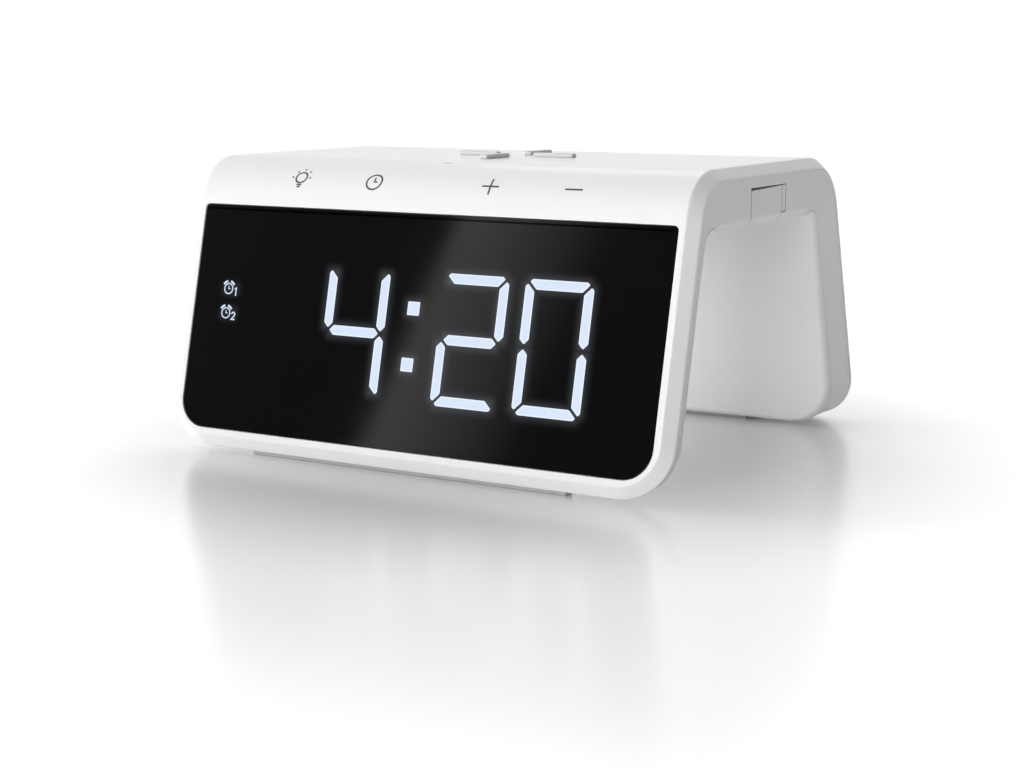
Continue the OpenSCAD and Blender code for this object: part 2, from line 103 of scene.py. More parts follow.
wrap = Wrap()
MID_Y = (RIM_FOOT + RIM_ACROSS) * math.sin(FRONT_LEAN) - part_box("outer_shell")[0].y / MM


def in_frame(x, y, z):
    """A point of the clock's own drawing, in millimetres, as a place in the frame."""
    return Vector((x, y - MID_Y, z + FOOT_H)) * MM


def wrapped(x, path, deep):
    """A point given across the clock, along the wrap and in from its surface."""
    point, out = wrap.at(path)
    inside = point - deep * out
    return in_frame(x, inside.x, inside.y)


def plate(width, low, high, r_low, r_high, deep_out, deep_in):
    """A flat slab with round corners, still unbent: x across, y along the wrap, z inwards."""
    bm = bmesh.new()
    corners = [(-1, low, r_low), (1, low, r_low), (1, high, r_high), (-1, high, r_high)]
    verts = [bm.verts.new((s * width / 2, y, deep_in)) for s, y, _ in corners]
    bm.faces.new(verts)
    for vert, (_, _, radius) in zip(verts, corners):
        bmesh.ops.bevel(
            bm, geom=[vert], affect="VERTICES", offset=radius, offset_type="OFFSET",
            segments=max(3, min(20, round(radius * 1.4))), profile=0.5, material=-1,
        )
    made = bmesh.ops.extrude_face_region(bm, geom=bm.faces[:])
    front = [v for v in made["geom"] if isinstance(v, bmesh.types.BMVert)]
    bmesh.ops.translate(bm, verts=front, vec=(0, 0, deep_out - deep_in))
    bmesh.ops.recalc_face_normals(bm, faces=bm.faces[:])
    return bm


def to_object(bm, name):
    mesh = bpy.data.meshes.new(name)
    bm.to_mesh(mesh)
    bm.free()
    obj = bpy.data.objects.new(name, mesh)
    bpy.context.scene.collection.objects.link(obj)
    return obj


def made_real(obj):
    """Turns an object's modifiers into mesh."""
    bpy.context.view_layer.update()
    seen = obj.evaluated_get(bpy.context.evaluated_depsgraph_get())
    mesh = bpy.data.meshes.new_from_object(seen)
    obj.modifiers.clear()
    obj.data = mesh


def carved(bm, cutters, operation="DIFFERENCE"):
    """A mesh after other meshes are cut out of it, or are met with it."""
    body = to_object(bm, "carving")
    for cutter in cutters:
        tool = to_object(cutter, "cutter")
        step = body.modifiers.new("cut", "BOOLEAN")
        step.operation, step.object, step.solver = operation, tool, "EXACT"
        made_real(body)
        bpy.data.objects.remove(tool)
    out = bmesh.new()
    out.from_mesh(body.data)
    bpy.data.objects.remove(body)
    return out


def soften(bm, edges, width, segments=2):
    bmesh.ops.bevel(
        bm, geom=edges, affect="EDGES", offset=width, offset_type="OFFSET",
        segments=segments, profile=0.5, material=-1, clamp_overlap=True,
    )


def level_edges(bm, deep):
    """The sharp edges that lie at one depth of an unbent slab."""
    return [
        e for e in bm.edges
        if all(abs(v.co.z - deep) < 1e-4 for v in e.verts)
        and e.is_manifold and e.calc_face_angle() > math.radians(20)
    ]


def bend(bm):
    """Cuts an unbent slab into short strips round the two bends, and wraps it."""
    ys = [v.co.y for v in bm.verts]
    for start, stop in ((wrap.up, wrap.over_front), (wrap.along_top, wrap.over_rear)):
        for i in range(BEND_STRIPS + 1):
            y = start + (stop - start) * i / BEND_STRIPS
            if min(ys) < y < max(ys):
                geom = bm.verts[:] + bm.edges[:] + bm.faces[:]
                bmesh.ops.bisect_plane(
                    bm, geom=geom, dist=1e-5, plane_co=(0, y, 0), plane_no=(0, 1, 0)
                )
    for vert in bm.verts:
        vert.co = wrapped(*vert.co)
    bmesh.ops.recalc_face_normals(bm, faces=bm.faces[:])


def finished(bm, name, material, replaces=(), body="clock_body", sharp=32):
    """Makes the piece that shows: smooth where it is round, and flat where it is flat."""
    obj = to_object(bm, name)
    obj.data.shade_smooth()
    obj.data.set_sharp_from_angle(angle=math.radians(sharp))
    even = obj.modifiers.new("even_normals", "WEIGHTED_NORMAL")
    even.keep_sharp = True
    obj.data.materials.clear()
    obj.data.materials.append(material)
    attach(obj, body)
    if replaces:
        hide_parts(*replaces)
    return obj


class Value:
    """A shader socket that Python's operators work on."""

    def __init__(self, finish, socket):
        self.finish, self.socket = finish, socket

    def maths(self, operation, other=0.0, swap=False):
        pair = (other, self) if swap else (self, other)
        return self.finish.add("ShaderNodeMath", {"operation": operation}, dict(enumerate(pair)))

    def __add__(self, other):
        return self.maths("ADD", other)

    def __sub__(self, other):
        return self.maths("SUBTRACT", other)

    def __rsub__(self, other):
        return self.maths("SUBTRACT", other, swap=True)

    def __mul__(self, other):
        return self.maths("MULTIPLY", other)

    def __truediv__(self, other):
        return self.maths("DIVIDE", other)

    def __pow__(self, other):
        return self.maths("POWER", other)

    def __abs__(self):
        return self.maths("ABSOLUTE")

    def least(self, other):
        return self.maths("MINIMUM", other)

    def most(self, other):
        return self.maths("MAXIMUM", other)

    __radd__, __rmul__ = __add__, __mul__


class Finish:
    """A material being mixed. add() puts in one node and gives back its result."""

    def __init__(self, name):
        self.material = bpy.data.materials.new(name)
        self.material.use_nodes = True
        self.tree = self.material.node_tree
        self.shader = self.tree.nodes["Principled BSDF"]
        self.place = self.add("ShaderNodeTexCoord", {}, {}, "Object")

    def fill(self, node, sockets):
        for key, value in sockets.items():
            if isinstance(value, Value):
                self.tree.links.new(value.socket, node.inputs[key])
            else:
                node.inputs[key].default_value = value

    def add(self, kind, settings, sockets, output=0):
        node = self.tree.nodes.new(kind)
        for key, value in settings.items():
            if key == "stops":
                for stop, (spot, colour) in zip(node.color_ramp.elements, value):
                    stop.position, stop.color = spot, (*colour, 1)
            else:
                setattr(node, key, value)
        self.fill(node, sockets)
        return Value(self, node.outputs[output])

    def noise(self, scale, detail=2.0, stretch=(1, 1, 1)):
        """Soft noise from 0 to 1. scale is in features per metre."""
        spot = self.add("ShaderNodeMapping", {}, {"Vector": self.place, "Scale": stretch})
        return self.add("ShaderNodeTexNoise", {}, {"Vector": spot, "Scale": scale, "Detail": detail})

    def blend(self, share, first, second):
        first, second = ((*c, 1) if isinstance(c, tuple) else c for c in (first, second))
        return self.add(
            "ShaderNodeMix", {"data_type": "RGBA"}, {"Factor": share, 6: first, 7: second}, 2
        )

    def relief(self, height, millimetres, strength=1.0):
        return self.add(
            "ShaderNodeBump", {}, {"Height": height, "Distance": millimetres * MM, "Strength": strength}
        )

    def done(self, **sockets):
        self.fill(self.shader, {k.replace("_", " "): v for k, v in sockets.items()})
        return self.material


def moulded(name, colour, rough, grain=0.006, coat=0.0):
    """Injection-moulded plastic: faint flow marks, a fine mould texture and light handling."""
    mix = Finish(name)
    flow = mix.noise(26, 3, (1, 1, 0.4))
    fine = mix.noise(2600, 2)
    rubbed = mix.noise(90, 4, (1, 0.5, 1))
    shade = tuple(c * 0.955 for c in colour)
    tone = mix.blend(flow * 0.5 + fine * 0.18, colour, shade)
    return mix.done(
        Base_Color=tone,
        Roughness=rough + (rubbed - 0.5) * 0.14,
        Normal=mix.relief(fine * 0.7 + mix.noise(700, 1) * 0.3, grain),
        Coat_Weight=coat,
        Coat_Roughness=0.12,
        IOR=1.5,
    )


def outer_shell():
    """The wall with its bevelled rim and its four openings, made flat and then wrapped."""
    bm = plate(WIDTH, RIM_FOOT, wrap.end - RIM_FOOT, CORNER_R, CORNER_R, RIM_DEEP, WALL)
    face = min(bm.faces, key=lambda f: f.calc_center_median().z)
    bmesh.ops.inset_region(bm, faces=[face], thickness=RIM_ACROSS, use_even_offset=True)
    bmesh.ops.translate(bm, verts=face.verts[:], vec=(0, 0, -RIM_DEEP))
    soften(bm, level_edges(bm, 0) + level_edges(bm, RIM_DEEP), RIM_SOFT, 3)
    above, through = -1, WALL + 1
    slot_low, slot_high = SLOT_PATH - SLOT_H / 2, SLOT_PATH + SLOT_H / 2
    slot_round, jack_round = SLOT_H / 2 - 0.03, JACK_R - 0.01
    jack = wrap.end - JACK_UP
    cutters = [
        plate(
            LENS_W + 2 * LENS_GAP, LENS_FOOT - LENS_GAP, LENS_FOOT + LENS_H + LENS_GAP,
            LENS_ROUND_LOW + LENS_GAP, LENS_ROUND_HIGH + LENS_GAP, above, SEAT_DEEP,
        ),
        plate(*WINDOW, WINDOW_ROUND, WINDOW_ROUND, 0, through),
        plate(SLOT_W, slot_low, slot_high, slot_round, slot_round, above, through),
        plate(2 * JACK_R, jack - JACK_R, jack + JACK_R, jack_round, jack_round, above, through),
    ]
    bm = carved(bm, cutters)
    rims = [
        e for e in level_edges(bm, 0)
        if any(abs(f.normal.z) < 0.1 for f in e.link_faces)
    ]
    soften(bm, rims, HOLE_SOFT, 2)
    bend(bm)
    return bm


SHELL_PAINT = moulded("shell_white_abs", SHELL_WHITE, 0.34, coat=0.15)
finished(outer_shell(), "shell_moulding", SHELL_PAINT, ["outer_shell"])

# ---- End frames, tunnel cover and battery door -------------------------------------------
# Satin white ABS. Each end frame closes one end of the slab and runs down the sides of both
# legs; its lower edge turns in under the slab. The cover is one bent milky sheet that lines
# the tunnel and snaps in between the frames. The door is cut out of the right frame.
END_X = WIDTH / 2 - 0.3
FRONT_LEG, REAR_LEG = 8, 21
CEILING = 67.2
TUNNEL_R = 4
SHEET = 1.8
LEG_ROUND, SLAB_ROUND = 1.5, 3.5
SEAM, LEG_SEAM = 0.3, -0.35
LIP, COVER_LIP = 0.3, 3
LEG_CORNER = CORNER_R - 0.3
SEAM_DIVE = 7
LEG_STEPS, CORNER_STEPS, DIVE_STEPS = 6, 12, 10
FRAME_STEPS, COVER_STEPS = 26, 12
IN_SLAB = Vector((0, 0, 76)) * MM
# Painted shade: the frames' white is darker than the shell's and stands in for the shade on the end faces,
# which turn away from the light. They are the same white plastic as the shell.
FRAME_WHITE_PAINTED_SHADE = (0.78, 0.782, 0.785)
COVER_WHITE = (0.83, 0.832, 0.835)


def arch(front, top, rear, round_front, round_rear, steps=12):
    """The two round upper corners of a side profile, as points from front to rear."""
    rise_f, rise_r = top - round_front, top - round_rear
    y_f = (front + round_front + rise_f * math.sin(FRONT_LEAN)) / math.cos(FRONT_LEAN)
    y_r = DEPTH - (rear + round_rear + rise_r * math.sin(REAR_LEAN)) / math.cos(REAR_LEAN)
    rows = []
    for i in range(steps + 1):
        turn = FRONT_LEAN + (math.pi / 2 - FRONT_LEAN) * i / steps
        rows.append((y_f - round_front * math.cos(turn), rise_f + round_front * math.sin(turn)))
    for i in range(steps + 1):
        turn = (math.pi / 2 - REAR_LEAN) * i / steps
        rows.append((y_r + round_rear * math.sin(turn), rise_r + round_rear * math.cos(turn)))
    return [Vector(p) for p in rows]


BACK = WALL + 0.1
TUNNEL = arch(FRONT_LEG, CEILING, REAR_LEG, TUNNEL_R, TUNNEL_R)
OUTER = arch(BACK, HEIGHT - BACK, BACK, FRONT_R - BACK, REAR_R - BACK)


def leg_line(near, slope, z):
    """Where a leaning line through a profile point stands at height z."""
    return near.x + (z - near.y) * slope


def stations():
    """The edge between end face and tunnel, from the front foot over to the rear foot.

    Each station is the edge's place, the direction in from the end along the tunnel's face,
    the direction across the end face, the width of that face, and how far the station has
    gone from a leg's small round to the slab's large one."""
    heights = [LEG_CORNER + (TUNNEL[0].y - LEG_CORNER) * i / LEG_STEPS for i in range(LEG_STEPS)]
    turns = [math.pi / 2 * (1 - i / CORNER_STEPS) for i in range(CORNER_STEPS)]
    half = len(TUNNEL) // 2
    rows = []

    def leg(face, back, slope, side):
        out = []
        for turn in turns:
            x = WIDTH / 2 - CORNER_R + LEG_CORNER * math.cos(turn)
            z = LEG_CORNER * (1 - math.sin(turn))
            out.append((x, z, turn))
        out += [(END_X, z, 0) for z in heights]
        for x, z, turn in out:
            y = leg_line(face, slope, z)
            wide = abs(y - leg_line(back, slope, z))
            into = Vector((-math.cos(turn), slope * math.sin(turn), math.sin(turn)))
            yield Vector((x, y, z)), into, Vector((0, side, 0)), wide, 0

    def upper(face, back, share=0):
        across = back - face
        return (
            Vector((END_X, face.x, face.y)), Vector((-1, 0, 0)),
            Vector((0, across.x, across.y)).normalized(), across.length, share,
        )

    def ceiling():
        """The seam dives under the slab just past each corner."""
        first, last = half - 1, half
        span = TUNNEL[last].x - TUNNEL[first].x
        near = [SEAM_DIVE * i / DIVE_STEPS for i in range(1, DIVE_STEPS + 1)]
        for along in near + [span - d for d in reversed(near)]:
            yield upper(
                TUNNEL[first].lerp(TUNNEL[last], along / span),
                OUTER[first].lerp(OUTER[last], along / span),
                min(along, span - along) / SEAM_DIVE,
            )

    rows += leg(TUNNEL[0], OUTER[0], math.tan(FRONT_LEAN), -1)
    corners = [upper(face, back) for face, back in zip(TUNNEL, OUTER)]
    rows += corners[:half] + list(ceiling()) + corners[half:]
    rows += reversed(list(leg(TUNNEL[-1], OUTER[-1], -math.tan(REAR_LEAN), 1)))
    return rows


def eased(share):
    return share * share * (3 - 2 * share)


def edge_point(station, q):
    """A place on the rounded edge. q is 0 where the end face starts to turn, negative on the
    end face, and positive round the turn and on along the tunnel."""
    base, into, across, _, share = station
    radius = LEG_ROUND + (SLAB_ROUND - LEG_ROUND) * eased(share)
    turn = min(max(q / radius, 0), math.pi / 2)
    e = radius * (1 - math.sin(turn)) + max(-q, 0)
    n = radius * (1 - math.cos(turn)) + max(q - radius * math.pi / 2, 0)
    return in_frame(*(base + n * into + e * across))


def seam_at(station):
    """Where the end frame stops and the cover starts, as a q of edge_point."""
    slab_seam = SLAB_ROUND * math.pi / 2 + LIP
    return LEG_SEAM + (slab_seam - LEG_SEAM) * eased(station[4])


def face_end(station):
    """The q where the end face meets the shell."""
    return LEG_ROUND + (SLAB_ROUND - LEG_ROUND) * eased(station[4]) - station[3]


def add_sheet(bm, rows):
    """A surface through rows of points."""
    last, across = len(rows) - 1, len(rows[0]) - 1
    made = bmesh.ops.create_grid(bm, x_segments=across, y_segments=last, size=0.5)
    for vert in made["verts"]:
        i, j = round((vert.co.y + 0.5) * last), round((vert.co.x + 0.5) * across)
        vert.co = rows[i][j]


def thickened(bm, inside):
    """Gives a surface its wall, on the side where the given place is."""
    bmesh.ops.remove_doubles(bm, verts=bm.verts[:], dist=1e-7)
    bmesh.ops.recalc_face_normals(bm, faces=bm.faces[:])
    probe = max(bm.faces, key=lambda f: f.calc_area())
    if probe.normal.dot(inside - probe.calc_center_median()) > 0:
        bmesh.ops.reverse_faces(bm, faces=bm.faces[:])
    bmesh.ops.solidify(bm, geom=bm.faces[:], thickness=SHEET * MM)
    bmesh.ops.recalc_face_normals(bm, faces=bm.faces[:])
    return bm


def cut_box(low, high):
    """A box between two corners given in the clock's drawing."""
    bm = bmesh.new()
    bmesh.ops.create_cube(bm, size=1)
    for vert in bm.verts:
        vert.co = in_frame(*(l + (h - l) * (c + 0.5) for l, h, c in zip(low, high, vert.co)))
    return bm


def flipped(rows):
    return [[Vector((-p.x, p.y, p.z)) for p in row] for row in rows]


STATIONS = stations()


def end_frame(side):
    rows = []
    for station in STATIONS:
        seam, stop = seam_at(station), face_end(station)
        steps = [seam + (stop - seam) * j / FRAME_STEPS for j in range(FRAME_STEPS + 1)]
        rows.append([edge_point(station, q) for q in steps])
    bm = bmesh.new()
    add_sheet(bm, rows if side > 0 else flipped(rows))
    return thickened(bm, IN_SLAB)


def tunnel_cover():
    """The edges' round, joined across the tunnel, and the soles that close the legs."""
    right = []
    for station in STATIONS:
        start, stop = seam_at(station) + SEAM, SLAB_ROUND * math.pi / 2 + LIP + COVER_LIP
        steps = [start + (stop - start) * j / COVER_STEPS for j in range(COVER_STEPS + 1)]
        right.append([edge_point(station, q) for q in steps])
    bm = bmesh.new()
    add_sheet(bm, [r + l[::-1] for r, l in zip(right, flipped(right))])
    for station, row in ((STATIONS[0], right[0]), (STATIONS[-1], right[-1])):
        sole = [edge_point(station, face_end(station))] + row
        add_sheet(bm, [sole] + flipped([sole]))
    return thickened(bm, IN_SLAB)


def rod(place, radius, length, sides):
    """An upright round bar, with its middle at a place of the clock's drawing."""
    bm = bmesh.new()
    bmesh.ops.create_cone(
        bm, cap_ends=True, segments=sides, radius1=radius * MM, radius2=radius * MM, depth=length * MM
    )
    bmesh.ops.translate(bm, verts=bm.verts[:], vec=in_frame(*place))
    return bm


# The frames' darker white is painted shade on their end faces, the door and its strap.
FRAME_PAINT = moulded("frame_white_abs_painted_shade", FRAME_WHITE_PAINTED_SHADE, 0.42)
COVER_PAINT = moulded("cover_milky_abs", COVER_WHITE, 0.36)
finished(end_frame(-1), "end_frame_left_moulding", FRAME_PAINT, ["end_frame_left"])
SCREWS = [(x, y, CEILING) for x in (-66, 66) for y in (41, 95)]
SCREW_HOLE_R, SCREW_HOLE_LONG = 2.9, 6
screw_holes = [rod(place, SCREW_HOLE_R, SCREW_HOLE_LONG, 32) for place in SCREWS]
lining = carved(tunnel_cover(), screw_holes)
finished(lining, "tunnel_lining", COVER_PAINT, ["inner_cover"])

# The battery door: a flap in the right frame, that closes over the tray of the backup cell.
# A strap joins it to the frame along two thin hinge lines. The flap sits a little low in front.
DOOR = (53.5, 74.9)
DOOR_IN, DOOR_OUT = 74, WIDTH / 2 + 1
DOOR_LOW, DOOR_TOP = 60, 77.6
DOOR_GAP_FRONT, DOOR_GAP = 0.8, 0.3
DOOR_SAG = 0.4
STRAP_LOW = 69.9
HINGE = (END_X - 0.6, 77.5)
HINGE_R = 0.78


def door_holes():
    """What the frame is opened with: the flap's opening, the strap's, and the hinge's round."""
    high = DOOR_TOP + DOOR_GAP
    return [
        cut_box((DOOR_IN, DOOR[0] - DOOR_GAP_FRONT, DOOR_LOW), (DOOR_OUT, DOOR[1] + DOOR_GAP, high)),
        cut_box((DOOR_IN, DOOR[1], STRAP_LOW), (DOOR_OUT, HINGE[1], high)),
        rod((*HINGE, (high + STRAP_LOW) / 2), HINGE_R, high - STRAP_LOW, 40),
    ]


def door_block():
    """The flap's share of the frame, with its upper front corner a little low."""
    bm = cut_box((DOOR_IN, DOOR[0], DOOR_LOW), (DOOR_OUT, DOOR[1], DOOR_TOP))
    middle = in_frame(0, sum(DOOR) / 2, (DOOR_LOW + DOOR_TOP) / 2)
    for vert in bm.verts:
        if vert.co.y < middle.y and vert.co.z > middle.z:
            vert.co.z -= DOOR_SAG * MM
    return bm


def rounded_rims(obj, width=0.2):
    """A small round on every sharp edge of a finished piece."""
    step = obj.modifiers.new("soft_edges", "BEVEL")
    step.width, step.segments, step.limit_method = width * MM, 2, "ANGLE"
    step.angle_limit = math.radians(40)
    obj.modifiers.move(len(obj.modifiers) - 1, 0)


for part, name, body, old in (
    (carved(end_frame(1), door_holes()), "end_frame_right_moulding", "clock_body", "end_frame_right"),
    (carved(end_frame(1), [door_block()], "INTERSECT"), "door_flap", "door", "battery_door"),
):
    rounded_rims(finished(part, name, FRAME_PAINT, [old], body))

# ---- Display window ----------------------------------------------------------------------
# Smoked acrylic, pressed to the front over foam tape. The lit segments, dots and signs show
# through it from the light guides of the display module, with a short glow round each.
LENS_TOP, LENS_DEEP, LENS_SOFT = 0.25, 1.85, 0.16
LENS_STEP, LENS_STEP_WIDE, LENS_STEP_UP = 1.1, 0.1, 0.015
DIGIT_UP = 37.9
DIGIT_W, DIGIT_H, STROKE = 20.7, 36.6, 2.8
SEGMENT_GAP = 0.9
LIT_ROUND, LIT_RIM, LIT_THICK = 0.28, 0.42, 0.07
SHOWN = ((-19.2, "bcfg"), (19.2, "abged"), (45, "abcdef"))
DOT, DOT_UP = (3.9, 3.8), 7.85
ALARMS = ((-65.4, 47.3, 1), (-65.4, 40.1, 2))
ALARM_FACE, ALARM_BELLS, ALARM_NUMBER = 1.5, 2.25, (2.8, -2)
ALARM_THICK = 0.03
LENS_BLACK = (0.0032, 0.0032, 0.0036)
GLOW = (0.82, 0.88, 1.0)
GLOW_REACH, GLOW_INSET = 3.4, 0.35
ALARM_GLOW = (0.9, 1.8, 0.6)


def lens():
    bm = plate(
        LENS_W, LENS_FOOT, LENS_FOOT + LENS_H, LENS_ROUND_LOW, LENS_ROUND_HIGH, LENS_TOP, LENS_DEEP
    )
    soften(bm, level_edges(bm, LENS_TOP), LENS_SOFT, 2)
    face = max((f for f in bm.faces if f.normal.z < -0.9), key=lambda f: f.calc_area())
    bmesh.ops.inset_region(bm, faces=[face], thickness=LENS_STEP, use_even_offset=True)
    bmesh.ops.inset_region(
        bm, faces=[face], thickness=LENS_STEP_WIDE, depth=LENS_STEP_UP, use_even_offset=True
    )
    bend(bm)
    return bm


def segments():
    """Each segment's outline about the middle of a digit."""
    w, h, t = DIGIT_W / 2, DIGIT_H / 2, STROKE
    back = SEGMENT_GAP / math.sqrt(2)
    tip = t / 4
    upright = [
        (w, h - back - 2 * tip), (w - tip, h - back - tip), (w - t, h - back - t),
        (w - t, back + t / 2), (w - t / 2, back), (w, back + t / 2),
    ]
    level = [
        (w - back - 2 * tip, h), (w - back - tip, h - tip), (w - back - t, h - t),
        (t + back - w, h - t), (tip + back - w, h - tip), (back + 2 * tip - w, h),
    ]
    half = w - t / 2 - back
    bar = [(half, 0), (half - t / 2, t / 2), (t / 2 - half, t / 2), (-half, 0),
           (t / 2 - half, -t / 2), (half - t / 2, -t / 2)]

    def turned(points, a, b):
        return [(a * x, b * y) for x, y in points]

    return {
        "a": level, "b": upright, "c": turned(upright, 1, -1), "d": turned(level, 1, -1),
        "e": turned(upright, -1, -1), "f": turned(upright, -1, 1), "g": bar,
    }


def outlines():
    """The outline of every lit segment and of the two dots, on the unbent front."""
    shapes = segments()
    out = [[(x + at, y + DIGIT_UP) for x, y in shapes[key]] for at, lit in SHOWN for key in lit]
    w, h = DOT[0] / 2, DOT[1] / 2
    for up in (-DOT_UP, DOT_UP):
        out.append([(a * w, DIGIT_UP + up + b * h) for a, b in ((1, 1), (1, -1), (-1, -1), (-1, 1))])
    return out


def lit_shapes():
    """A thin plate over each outline, whose attribute "rim" is 1 at its edge and 0 inside."""
    bm = bmesh.new()
    rim = bm.verts.layers.float.new("rim")
    for outline in outlines():
        start = set(bm.verts)
        bm.faces.new([bm.verts.new((x, y, LENS_TOP)) for x, y in outline])
        corners = [v for v in bm.verts if v not in start]
        bmesh.ops.bevel(
            bm, geom=corners, affect="VERTICES", offset=LIT_ROUND, offset_type="OFFSET",
            segments=3, profile=0.5, material=-1,
        )
    flat = bm.faces[:]
    bmesh.ops.extrude_face_region(bm, geom=flat)
    raised_verts = list({v for f in flat for v in f.verts})
    bmesh.ops.translate(bm, verts=raised_verts, vec=(0, 0, -LIT_THICK))
    for vert in bm.verts:
        vert[rim] = 1
    bmesh.ops.inset_individual(bm, faces=flat, thickness=LIT_RIM, use_even_offset=True)
    for face in flat:
        for vert in face.verts:
            vert[rim] = 0
    bmesh.ops.recalc_face_normals(bm, faces=bm.faces[:])
    bend(bm)
    return bm


def ribbon(bm, points, width, closed=False):
    """A flat line along points, at no depth yet."""
    rows = []
    count = len(points)
    for i, point in enumerate(points):
        before = points[i - 1] if i or closed else point
        after = points[(i + 1) % count] if i < count - 1 or closed else point
        sides = [(a, b) for a, b in ((before, point), (point, after)) if a != b]
        ways = [Vector((b[0] - a[0], b[1] - a[1])).normalized() for a, b in sides]
        mid = sum(ways, Vector((0, 0))).normalized()
        side = Vector((-mid.y, mid.x)) * width / 2 / max(mid.dot(ways[0]), 0.5)
        places = [(point[0] + k * side.x, point[1] + k * side.y, 0) for k in (1, -1)]
        rows.append([bm.verts.new(place) for place in places])
    pairs = list(zip(rows, rows[1:])) + ([(rows[-1], rows[0])] if closed else [])
    for (a, b), (c, d) in pairs:
        bm.faces.new((a, b, d, c))


def arc(x, y, radius, first, last, steps=16):
    turns = [math.radians(first + (last - first) * i / steps) for i in range(steps + 1)]
    return [(x + radius * math.cos(t), y + radius * math.sin(t)) for t in turns]


def ring(bm, x, y, radius, width):
    ribbon(bm, arc(x, y, radius, 0, 352.5, 47), width, closed=True)


def raised(bm, deep, thick):
    """Makes flat lines a thin layer over the surface at one depth, and bends them."""
    flat = bm.faces[:]
    for vert in bm.verts:
        vert.co.z = deep
    bmesh.ops.extrude_face_region(bm, geom=flat)
    bmesh.ops.translate(bm, verts=list({v for f in flat for v in f.verts}), vec=(0, 0, -thick))
    bmesh.ops.recalc_face_normals(bm, faces=bm.faces[:])
    bend(bm)
    return bm


def alarm_signs():
    """Two small clocks with two bells each, and the alarm's number beside each."""
    bm = bmesh.new()
    for x, y, number in ALARMS:
        ring(bm, x, y, ALARM_FACE, 0.34)
        ribbon(bm, [(x, y + 0.85), (x, y), (x + 0.65, y)], 0.26)
        for side in (-1, 1):
            ribbon(bm, arc(x, y, ALARM_BELLS, 90 - side * 14, 90 - side * 58, 6), 0.6)
        at, low = x + ALARM_NUMBER[0], y + ALARM_NUMBER[1]
        if number == 1:
            ribbon(bm, [(at - 0.5, low + 1.9), (at, low + 2.3), (at, low)], 0.4)
        else:
            top = arc(at, low + 1.7, 0.6, 170, -35, 8)
            ribbon(bm, top + [(at - 0.6, low + 0.2), (at + 0.7, low + 0.2)], 0.4)
    return raised(bm, LENS_TOP - LENS_STEP_UP, ALARM_THICK)


def lens_black():
    """Black gloss with fine dust, and the glow of the lit shapes behind it."""
    mix = Finish("lens_smoked_acrylic")
    split = mix.add("ShaderNodeSeparateXYZ", {}, {0: mix.place})
    axes = [Value(mix, split.socket.node.outputs[i]) for i in range(3)]
    zero = wrapped(0, 0, 0)
    x = axes[0] * 1000
    up = (axes[1] - zero.y) * (1000 * math.sin(FRONT_LEAN))
    up = up + (axes[2] - zero.z) * (1000 * math.cos(FRONT_LEAN))
    nearest = None
    for outline in outlines():
        xs, ys = [p[0] for p in outline], [p[1] for p in outline]
        dx = (abs(x - (max(xs) + min(xs)) / 2) - ((max(xs) - min(xs)) / 2 - GLOW_INSET)).most(0)
        dy = (abs(up - (max(ys) + min(ys)) / 2) - ((max(ys) - min(ys)) / 2 - GLOW_INSET)).most(0)
        away = dx * dx + dy * dy
        nearest = away if nearest is None else nearest.least(away)
    middle, half_wide, half_high = ALARM_GLOW
    for at, high, _ in ALARMS:
        dx, dy = (abs(x - at - middle) - half_wide).most(0), (abs(up - high) - half_high).most(0)
        nearest = nearest.least(dx * dx + dy * dy + 1.2)
    away = nearest ** 0.5
    glow = (1 - away / GLOW_REACH).most(0) ** 2.2
    dust = mix.noise(5200, 2)
    return mix.done(
        Base_Color=mix.blend(dust * 0.6, LENS_BLACK, tuple(c * 1.5 for c in LENS_BLACK)),
        Roughness=0.035 + mix.noise(60, 4) * 0.04 + dust * 0.02,
        Normal=mix.relief(mix.noise(30, 1), 0.004),
        Emission_Color=mix.blend(glow, (0, 0, 0), GLOW),
        Emission_Strength=0.055,
        IOR=1.49,
    )


def lit_white(name, strength):
    """Light from a guide: a little brighter at its rim."""
    mix = Finish(name)
    rim = mix.add("ShaderNodeAttribute", {"attribute_name": "rim"}, {}, 2)
    tone = mix.blend(rim * 0.85 + mix.noise(400, 2) * 0.15, (0.64, 0.745, 0.93), (0.88, 0.96, 1.0))
    return mix.done(
        Base_Color=mix.blend(rim, (0.02, 0.02, 0.022), (0.03, 0.03, 0.032)),
        Emission_Color=tone, Emission_Strength=strength,
        Roughness=0.3 + mix.noise(800, 1) * 0.1,
    )


finished(lens(), "lens_panel", lens_black(), ["display_lens"], sharp=12)
LIT = lit_white("lit_guide", 1.0)
finished(lit_shapes(), "lit_digits", LIT)
finished(alarm_signs(), "lit_alarm_signs", LIT)

# ---- Touch key signs ---------------------------------------------------------------------
# A bulb, a clock, a plus and a minus over the touch electrodes, on the round front edge of the
# top. Each is a thin layer of dark grey ink, pad printed on the shell.
KEY_PATH = 81.1
KEYS = (-45, -19.2, 19.2, 45)
KEY_LINE, INK_THICK = 0.55, 0.02
BULB_R, RAYS, CLOCK_R, STROKE_HALF = 1.85, (2.75, 3.35), 2.5, 2.65
INK = (0.055, 0.056, 0.06)


